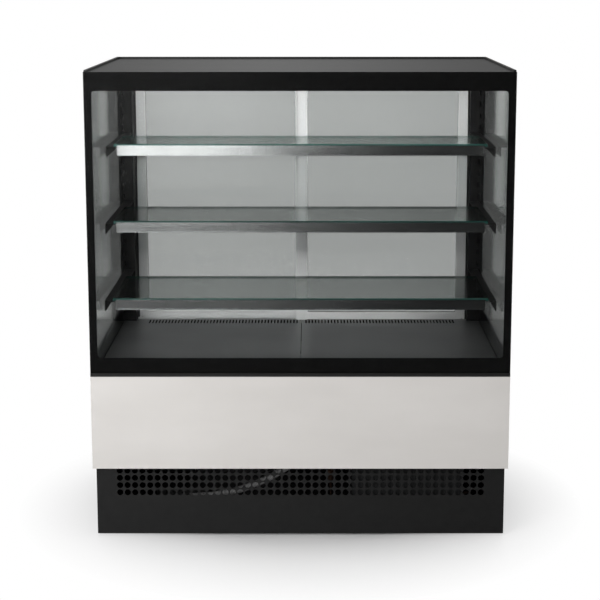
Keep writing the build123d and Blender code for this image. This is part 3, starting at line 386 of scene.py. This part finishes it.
materials = {
    "black_steel": surface("black_steel", grey(0.008), grey(0.011), (0.42, 0.52), bump=0.25),
    "roof_steel": surface("roof_steel", grey(0.012), grey(0.018), (0.3, 0.36), bump=0.12),
    "post_steel": surface("post_steel", grey(0.004), grey(0.006), (0.45, 0.55), bump=0.15, specular=0.3),
    "galvanised_steel": surface(
        "galvanised_steel",
        (0.3, 0.31, 0.32),
        (0.42, 0.43, 0.44),
        (0.35, 0.5),
        metallic=0.85,
        stretch=(90, 90, 90),
    ),
    # Painted shade: near-black for the chassis pan under the case, standing for the shade there in place of
    # its galvanised finish.
    "chassis_painted_shade": surface("chassis_painted_shade", grey(0.012), grey(0.02), (0.6, 0.75)),
    "foot_plastic": surface("foot_plastic", grey(0.02), grey(0.03), (0.5, 0.65)),
    "compressor_paint": surface("compressor_paint", grey(0.01), grey(0.016), (0.2, 0.3), coat=0.4),
    "rubber": surface("rubber", grey(0.02), grey(0.03), (0.7, 0.85)),
    "coil_fins": surface(
        "coil_fins",
        (0.003, 0.003, 0.0032),
        (0.014, 0.0144, 0.015),
        (0.5, 0.65),
        metallic=0.2,
        stretch=(500, 2, 2),
        fine=(500, 40, 40),
        bump=0.6,
        depth=0.4 * mm,
    ),
    "fan_plastic": surface("fan_plastic", grey(0.015), grey(0.025), (0.45, 0.6)),
    "copper": surface(
        "copper", (0.05, 0.03, 0.022), (0.12, 0.07, 0.048), (0.4, 0.55), metallic=0.9, stretch=(30, 30, 30)
    ),
    "hose_plastic": surface("hose_plastic", grey(0.16), grey(0.22), (0.4, 0.55), stretch=(40, 40, 40)),
    "tray_plastic": surface("tray_plastic", grey(0.015), grey(0.022), (0.5, 0.65)),
    # Painted shade: the tub's liner is near-black, standing for the shade inside the tub that shows through
    # the deck's slots.
    "tub_liner": surface("tub_liner", (0.02, 0.0205, 0.0205), (0.03, 0.0305, 0.0305), (0.5, 0.6)),
    "fascia_steel": surface(
        "fascia_steel",
        (0.63, 0.608, 0.585),
        (0.69, 0.668, 0.645),
        (0.34, 0.42),
        metallic=0.2,
        stretch=(2, 2, 6),
        fine=(6, 6, 1400),
        bump=0.08,
    ),
    "control_plastic": surface("control_plastic", (0.03, 0.03, 0.032), (0.045, 0.045, 0.048), (0.4, 0.55)),
    "key_plastic": surface("key_plastic", grey(0.2), grey(0.26), (0.45, 0.6)),
    "display_lens": surface(
        "display_lens", (0.012, 0.004, 0.004), (0.02, 0.006, 0.006), (0.08, 0.12), bump=0.0
    ),
    "deck_steel": surface(
        "deck_steel",
        (0.21, 0.213, 0.216),
        (0.25, 0.254, 0.257),
        (0.38, 0.46),
        metallic=0.7,
        stretch=(4, 4, 4),
        fine=(5, 1200, 5),
        bump=0.06,
        # Painted shade: near-black on the walls of the deck's slots, standing for the shade inside them.
        edge_shade=grey(0.006),
    ),
    "clear_glass": glass("clear_glass", (0.989, 0.991, 0.99), 0.001),
    "border_print": surface("border_print", grey(0.004), grey(0.0055), (0.3, 0.4), specular=0.05),
    "ceiling_liner": surface("ceiling_liner", grey(0.4), grey(0.46), (0.4, 0.5)),
    "lamp_lens": glow("lamp_lens", (1.0, 0.98, 0.95), 2.0),
    "door_aluminium": surface(
        "door_aluminium",
        (0.37, 0.375, 0.372),
        (0.43, 0.435, 0.432),
        (0.3, 0.4),
        metallic=0.15,
        stretch=(6, 6, 3),
        fine=(900, 900, 8),
        bump=0.06,
    ),
    "door_glass": glass(
        "door_glass", (0.87, 0.88, 0.875), 0.03, body=0.35, body_colour=(0.12, 0.123, 0.121), softness=0.24
    ),
    "shelf_glass": glass("shelf_glass", (0.87, 0.892, 0.884), 0.03, edge=(0.016, 0.068, 0.057), softness=0.2),
    "rail_metal": surface(
        "rail_metal",
        (0.5, 0.51, 0.51),
        (0.56, 0.57, 0.57),
        (0.17, 0.22),
        metallic=1.0,
        stretch=(6, 3, 3),
        fine=(3, 500, 500),
        bump=0.01,
    ),
    "bracket_steel": surface("bracket_steel", grey(0.008), grey(0.014), (0.55, 0.65), specular=0.2),
    "gasket_rubber": surface("gasket_rubber", grey(0.012), grey(0.02), (0.6, 0.75)),
    "glazing_vinyl": surface("glazing_vinyl", (0.42, 0.425, 0.42), (0.5, 0.505, 0.5), (0.5, 0.65)),
    "screw_steel": surface("screw_steel", grey(0.2), grey(0.3), (0.3, 0.4), metallic=0.9),
}


def dress(piece, material):
    """Every material slot of a piece, linked to the object, holds that material."""
    if not piece.material_slots:
        piece.data.materials.append(None)
    for place in piece.material_slots:
        place.link = "OBJECT"
        place.material = material


def dress_frame():
    """Every CAD node takes its slot's finish, but the roof, brackets and keys have their own, and the chassis
    takes a dark colour painted as shade.
    """
    for part in frame["record"]["subparts"]:
        dress(nodes[part["node"]], materials[part["material_slot"]])
    dress(nodes["roof_panel"], materials["roof_steel"])
    # Painted shade on the chassis pan, in place of its slot's finish.
    dress(nodes["chassis"], materials["chassis_painted_shade"])
    dress(nodes["shelf_brackets"], materials["bracket_steel"])
    for key in ("key_set", "key_down", "key_up"):
        dress(nodes[key], materials["key_plastic"])


def new_piece(name, points, faces, material, body, smooth=False):
    """Mesh object from an array of points and a list of faces, dressed, and riding on a CAD body."""
    mesh = bpy.data.meshes.new(name)
    mesh.from_pydata(points.tolist(), [], faces)
    mesh.polygons.foreach_set("use_smooth", [smooth] * len(mesh.polygons))
    mesh.update()
    piece = bpy.data.objects.new(name, mesh)
    bpy.context.scene.collection.objects.link(piece)
    mesh.materials.append(materials[material])
    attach(piece, body)
    return piece


def round_angles(count):
    """Angles of that many points round a circle."""
    return 2 * pi * np.arange(count) / count


def quads_between(first, second):
    """Quads joining two closed rings of point numbers, the last axis of each array running round the ring."""
    ahead, beyond = np.roll(first, -1, axis=-1), np.roll(second, -1, axis=-1)
    return np.stack([first, ahead, beyond, second], axis=-1).reshape(-1, 4)


def merged(points, faces):
    """Points that coincide become one, and the faces are renumbered to match."""
    kept, numbers = np.unique(np.round(points, 7), axis=0, return_inverse=True)
    return kept, numbers.reshape(-1)[faces]


def perforated_plate(name, low, high):
    """Plate in X and Z with a round hole in each cell of a grid whose outer cells reach the plate's edges.

    Round each hole the unit square's point at angle a is (cos a, sin a) / max(|cos a|, |sin a|), stretched
    to its cell's reach on that side, and the rim point is r (cos a, sin a). Quads join the two at the front
    and back, the rims through the sheet, and front to back where two neighbours lie on one edge of the plate.
    """
    angle = round_angles(hole_segments)
    ray = np.stack([np.cos(angle), np.sin(angle)], 1)
    square = ray / np.abs(ray).max(1, keepdims=True)
    columns = (np.arange(grille_columns) - (grille_columns - 1) / 2) * grille_pitch
    rows = grille_lowest_row + np.arange(grille_rows) * grille_pitch
    x = np.concatenate([[low.x], (columns[1:] + columns[:-1]) / 2, [high.x]])
    z = np.concatenate([[low.z], (rows[1:] + rows[:-1]) / 2, [high.z]])
    centre = np.stack(np.meshgrid(columns, rows), -1).reshape(-1, 1, 2)
    least = np.stack(np.meshgrid(x[:-1], z[:-1]), -1).reshape(-1, 1, 2)
    most = np.stack(np.meshgrid(x[1:], z[1:]), -1).reshape(-1, 1, 2)
    cell = centre + square * np.where(square > 0, most - centre, centre - least)
    rim = centre + grille_hole_radius * ray
    flat = np.stack([cell, rim, rim, cell], 1)
    depth = np.array([low.y, low.y, high.y, high.y])[None, :, None, None]
    points = np.concatenate([flat[..., :1], np.broadcast_to(depth, (*flat.shape[:3], 1)), flat[..., 1:]], -1)
    numbers = np.arange(points.size // 3).reshape(points.shape[:3])
    sides = np.concatenate([np.isclose(cell, (low.x, low.z)), np.isclose(cell, (high.x, high.z))], -1)
    outer = (sides & np.roll(sides, -1, axis=1)).any(-1).reshape(-1)
    faces = [quads_between(numbers[:, ring], numbers[:, ring + 1]) for ring in range(3)]
    faces.append(quads_between(numbers[:, 3], numbers[:, 0])[outer])
    points, faces = merged(points.reshape(-1, 3), np.concatenate(faces))
    return new_piece(name, points, faces.tolist(), "black_steel", "case")


def spline_points(route):
    """Points along the order 3 NURBS spline of a route, as Blender evaluates it."""
    curve = bpy.data.curves.new("route", "CURVE")
    curve.dimensions = "3D"
    curve.resolution_u = route_steps
    line = curve.splines.new("NURBS")
    line.points.add(len(route) - 1)
    for point, place in zip(line.points, route):
        point.co = (*place, 1)
    line.use_endpoint_u = True
    line.order_u = 3
    holder = bpy.data.objects.new("route", curve)
    mesh = bpy.data.meshes.new_from_object(holder)
    points = np.empty(3 * len(mesh.vertices))
    mesh.vertices.foreach_get("co", points)
    bpy.data.objects.remove(holder)
    bpy.data.curves.remove(curve)
    bpy.data.meshes.remove(mesh)
    return points.reshape(-1, 3)


def along(points, distances):
    """Points at distances along a polyline, and its whole length."""
    steps = np.linalg.norm(np.diff(points, axis=0), axis=1)
    reached = np.concatenate([[0], np.cumsum(steps)])
    return np.stack([np.interp(distances, reached, points[:, k]) for k in range(3)], 1), reached[-1]


def ribbed_hose():
    """Corrugated hose round the route's middle line, with plain cuffs at its ends and a plain bore.

    At distance s past the first cuff its radius is v + (c - v) (1 - cos(2 pi s / pitch)) / 2, from the
    valley v to the crest c.
    """
    line = spline_points(hose_route)
    _, length = along(line, [0])
    ribs = int((length - 2 * hose_cuff) / hose_rib_pitch)
    start = (length - ribs * hose_rib_pitch) / 2
    ribbed = start + np.arange(ribs * rings_per_rib + 1) * hose_rib_pitch / rings_per_rib
    distances = np.concatenate([[0], ribbed, [length]])
    wave = (1 - np.cos(2 * pi * (distances - start) / hose_rib_pitch)) / 2
    wave[0] = wave[-1] = 0
    outer = hose_valley_radius + (hose_crest_radius - hose_valley_radius) * wave
    distances = np.concatenate([distances, distances[::-1]])
    radii = np.concatenate([outer, np.full(len(outer), hose_bore_radius)])
    centres, _ = along(line, distances)
    ahead, _ = along(line, np.minimum(distances + tangent_step, length))
    behind, _ = along(line, np.maximum(distances - tangent_step, 0))
    tangent = ahead - behind
    tangent /= np.linalg.norm(tangent, axis=1, keepdims=True)
    steady = np.array([0.0, 1.0, 0.0])
    across = np.cross(tangent, steady)
    angle = round_angles(hose_segments)
    ring = np.cos(angle)[None, :, None] * steady + np.sin(angle)[None, :, None] * across[:, None]
    points = (centres[:, None] + radii[:, None, None] * ring).reshape(-1, 3)
    numbers = np.arange(len(points)).reshape(-1, hose_segments)
    faces = quads_between(numbers, np.roll(numbers, -1, axis=0)).tolist()
    hose = new_piece("drain_hose_ribbed", points, faces, "hose_plastic", "case", True)
    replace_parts(hose, "drain_hose")


def rectangle_ring(low, high, width, y_front, y_back):
    """Points and faces of a rectangular ring in X and Z, a profile of four rings joined into a closed bead.

    Outer front, inner front, inner back and outer back: the corners are those of the rectangle, moved in by
    the width for the two inner rings.
    """
    inset = width * np.array([0, 1, 1, 0])[:, None, None]
    upper = np.array([(0, 0), (1, 0), (1, 1), (0, 1)], bool)
    flat = np.where(upper, high - inset, low + inset)
    depth = np.broadcast_to(np.array([y_front, y_front, y_back, y_back])[:, None], flat.shape[:2])
    points = np.stack([flat[..., 0], depth, flat[..., 1]], -1).reshape(-1, 3)
    numbers = np.arange(len(points)).reshape(4, 4)
    return points, quads_between(numbers, np.roll(numbers, -1, axis=0)).tolist()


def door_gaskets():
    """Pale glazing beads round both faces of each door's glazed unit, standing against the frame."""
    for side in ("left", "right"):
        low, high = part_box(f"{side}_door_glass")
        least = np.array([low.x + bead_lap, low.z + bead_lap_low])
        most = np.array([high.x - bead_lap, high.z - bead_lap])
        depths = (("front", low.y - bead_proud, low.y), ("back", high.y, high.y + bead_proud))
        for face, y_front, y_back in depths:
            points, faces = rectangle_ring(least, most, bead_width, y_front, y_back)
            name = f"{side}_door_gasket_{face}"
            new_piece(name, points, faces, "glazing_vinyl", f"{side}_door")


def door_edge_seals():
    """Ribbed rubber strip up each closing stile's edge.

    At share u across its thickness it stands out d (0.8 + 0.2 sin^2(5 pi u)), with five ribs.
    """
    for side, outward in (("left", -1), ("right", 1)):
        low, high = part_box(f"{side}_door_frame")
        edge = low.x if outward < 0 else high.x
        share = np.linspace(0, 1, seal_points)
        thick = (high.y - low.y) * seal_width
        middle = (low.y + high.y) / 2
        reach = seal_reach * (seal_valley + (1 - seal_valley) * np.sin(seal_ribs * pi * share) ** 2)
        y = middle - thick / 2 + thick * share
        ribbed = np.stack([edge + outward * reach, y], 1)
        back = np.stack([np.full(2, edge), [y[-1], y[0]]], 1)
        outline = np.concatenate([ribbed, back])[::outward]
        heights = np.array([low.z + seal_gap_low, high.z - seal_gap_high])[:, None, None]
        flat = np.broadcast_to(outline, (2, *outline.shape))
        points = np.concatenate([flat, np.broadcast_to(heights, (*flat.shape[:2], 1))], -1).reshape(-1, 3)
        numbers = np.arange(len(points)).reshape(2, -1)
        faces = quads_between(numbers[0], numbers[1]).tolist()
        faces += [numbers[0][::-1].tolist(), numbers[1].tolist()]
        new_piece(f"{side}_door_edge_seal", points, faces, "gasket_rubber", f"{side}_door")


def pan_head(name, x, y, z, body):
    """Screw head facing the front: height h (0.35 + 0.6 sqrt(1 - u^2)) at share u of its radius.

    Inside u = 0.3 it is sunk to 0.35 h for the driver, and at u = 1 it drops straight to the frame.
    """
    share = np.array(screw_rings)
    dome = screw_rim + screw_dome * np.sqrt(1 - share**2)
    height = screw_height * np.where(share < screw_recess, screw_rim, dome)
    height[-1] = 0
    angle = round_angles(screw_sides)
    reach = screw_radius * share[:, None]
    depth = np.broadcast_to(y - height[:, None], (len(share), screw_sides))
    points = np.stack([x + reach * np.cos(angle), depth, z + reach * np.sin(angle)], -1).reshape(-1, 3)
    numbers = np.arange(len(points)).reshape(len(share), screw_sides)
    faces = quads_between(numbers[:-1], numbers[1:])[:, ::-1].tolist()
    faces.append(numbers[0].tolist())
    faces.append(numbers[-1][::-1].tolist())
    new_piece(name, points, faces, "screw_steel", body)


def stile_screws():
    """A pan-head screw near each end of each closing stile."""
    for side, outward in (("left", -1), ("right", 1)):
        low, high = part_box(f"{side}_door_frame")
        x = (low.x if outward < 0 else high.x) - outward * screw_inset
        for end, z in (("low", low.z + screw_inset), ("high", high.z - screw_inset)):
            pan_head(f"{side}_door_screw_{end}", x, low.y, z, f"{side}_door")


def display_window():
    """Domed lens in the control housing's recess.

    At shares u and v of its half width and height it stands d (0.3 + 0.7 (1 - u^4) (1 - v^4)) proud of the
    recess's floor, and straight walls close it down to that floor.
    """
    u, v = np.meshgrid(np.linspace(-1, 1, lens_columns), np.linspace(-1, 1, lens_rows))
    low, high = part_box("control_housing")
    key_low, key_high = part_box("key_down")
    middle_x = key_low.x / 2 + key_high.x / 2 + lens_offset
    middle_z = (low.z + high.z) / 2
    floor_y = high.y - lens_recess
    proud = lens_rise * (lens_rim + (1 - lens_rim) * (1 - u**4) * (1 - v**4))
    lens = [middle_x - u * lens_half[0], floor_y + proud, middle_z + v * lens_half[1]]
    grid = np.stack(lens, -1).reshape(-1, 3)
    numbers = np.arange(u.size).reshape(u.shape)
    corners = [numbers[:-1, :-1], numbers[:-1, 1:], numbers[1:, 1:], numbers[1:, :-1]]
    top = np.stack(corners, -1).reshape(-1, 4)
    rim = np.concatenate([numbers[0, :-1], numbers[:-1, -1], numbers[-1, :0:-1], numbers[:0:-1, 0]])
    foot = grid[rim] * (1, 0, 1) + (0, floor_y, 0)
    foot_numbers = len(grid) + np.arange(len(rim))
    faces = top.tolist() + quads_between(foot_numbers, rim).tolist() + [foot_numbers[::-1].tolist()]
    points = np.concatenate([grid, foot])
    new_piece("display_window", points, faces, "display_lens", "case", True)


def make_camera():
    """Camera at the photograph's station, tipped down to the middle of the case."""
    data = bpy.data.cameras.new("camera")
    data.sensor_width = sensor_width
    data.lens = sensor_width * focal_pixels / frame_pixels
    data.shift_x = view_slide
    data.shift_y = view_drop
    camera = bpy.data.objects.new("camera", data)
    camera.location = camera_place
    camera.rotation_euler = (radians(90 - camera_pitch), 0, 0)
    bpy.context.scene.collection.objects.link(camera)
    bpy.context.scene.camera = camera


def area_lamp(name, place, aim, size, power, mirrored=False):
    """Rectangular lamp aimed at a point, hidden from the camera and, unless mirrored, from reflections."""
    data = bpy.data.lights.new(name, "AREA")
    data.shape = "RECTANGLE"
    data.size, data.size_y = size
    data.energy = power
    lamp = bpy.data.objects.new(name, data)
    lamp.location = place
    lamp.rotation_euler = (Vector(aim) - Vector(place)).to_track_quat("-Z", "Y").to_euler()
    lamp.visible_camera = False
    lamp.visible_glossy = mirrored
    bpy.context.scene.collection.objects.link(lamp)
    return lamp


def make_lamps():
    """Studio lamps, the case's own lamp under the ceiling, and what the deck throws back."""
    for name, place, aim, size, power, mirrored in studio_lamps:
        area_lamp(name, place, aim, size, power, mirrored)
    low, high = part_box("led_lamp")
    y, z = high.y, low.z
    for name, x, power in case_lamps:
        aim = (x, y + case_lamp_aim[0], z + case_lamp_aim[1])
        lamp = area_lamp(name, (x, y, z), aim, case_lamp_size, power)
        lamp.data.spread = radians(case_lamp_spread)
    bounce = area_lamp("deck_bounce", bounce_place, bounce_aim, bounce_size, bounce_power)
    bounce.data.spread = radians(bounce_spread)


def studio_share(tree):
    """Two masks: rays of sight, straight or through glass, and rays that metal or glass mirrors."""
    path = tree.add("ShaderNodeLightPath")
    seen = tree.math("MAXIMUM", path.outputs["Is Camera Ray"], path.outputs["Is Transmission Ray"])
    return seen, path.outputs["Is Glossy Ray"]


def room_tone(tree, across, back, up):
    """Studio's level in reflections: light left front, dark right front, a glow behind and a pale top."""
    front = tree.spread(across, *front_tones)
    aside = tree.math("ABSOLUTE", tree.math("ADD", across, -glow_middle))
    behind = tree.math("MULTIPLY", tree.spread(back, 0.0, 1.0), tree.spread(aside, *glow_tones))
    level = tree.math("ADD", tree.math("MULTIPLY", tree.spread(back, *front_fade), front), behind)
    return tree.math("MAXIMUM", level, tree.spread(up, *top_tones))


def make_world():
    """White behind the case, the studio's level and pale sides in reflections, and a grey for the light."""
    world = bpy.data.worlds.new("studio")
    bpy.context.scene.world = world
    world.use_nodes = True
    tree = Tree(world.node_tree)
    background = world.node_tree.nodes["Background"]
    direction = tree.split(tree.add("ShaderNodeTexCoord").outputs["Generated"])
    back = tree.spread(direction.outputs["Y"], *world_back)
    room = room_tone(tree, direction.outputs["X"], back, direction.outputs["Z"])
    sides = tree.spread(tree.math("ABSOLUTE", direction.outputs["X"]), *side_tones)
    room = tree.math("MAXIMUM", room, sides)
    seen, glossy = studio_share(tree)
    reflected = tree.colours(glossy, world_light, room)
    tree.feed(tree.colours(seen, reflected, white), background.inputs["Color"])
    background.inputs["Strength"].default_value = 1.0


def make_floor():
    """Pale floor that keeps the shadow near the case and turns to plain white further off."""
    mesh = bpy.data.meshes.new("floor")
    corners = floor_half * np.array([(-1, -1, 0), (1, -1, 0), (1, 1, 0), (-1, 1, 0)])
    mesh.from_pydata(corners.tolist(), [], [(0, 1, 2, 3)])
    floor = bpy.data.objects.new("floor", mesh)
    bpy.context.scene.collection.objects.link(floor)
    paint, tree, shader, output = new_material("floor_paint")
    place = tree.add("ShaderNodeTexCoord").outputs["Object"]
    distance = tree.add("ShaderNodeVectorMath", operation="LENGTH")
    tree.feed(place, distance.inputs[0])
    far = tree.spread(distance.outputs["Value"], *shadow_fade)
    low, high = floor_levels
    mottled = tree.colours(grain(tree, floor_grain), (*grey(low), 1), (*grey(high), 1))
    tree.feed(mottled, shader.inputs["Base Color"])
    shader.inputs["Roughness"].default_value = floor_roughness
    shader.inputs["Specular IOR Level"].default_value = floor_specular
    seen, glossy = studio_share(tree)
    spot = tree.split(place)
    room = room_tone(tree, spot.outputs["X"], tree.spread(spot.outputs["Y"], *floor_back), 0.0)
    plain_light = tree.add("ShaderNodeEmission", {"Strength": 1.0})
    tree.feed(tree.colours(seen, room, white), plain_light.inputs["Color"])
    share = tree.math("MAXIMUM", tree.math("MULTIPLY", far, seen), glossy)
    mixed = tree.shaders(share, shader, plain_light)
    tree.feed(mixed.outputs[0], output.inputs["Surface"])
    floor.data.materials.append(paint)


make_camera()
dress_frame()
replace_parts(perforated_plate("front_grille_perforated", *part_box("front_grille")), "front_grille")
ribbed_hose()
door_gaskets()
door_edge_seals()
stile_screws()
display_window()
make_lamps()
make_world()
make_floor()
bpy.context.scene.view_settings.view_transform = "Standard"
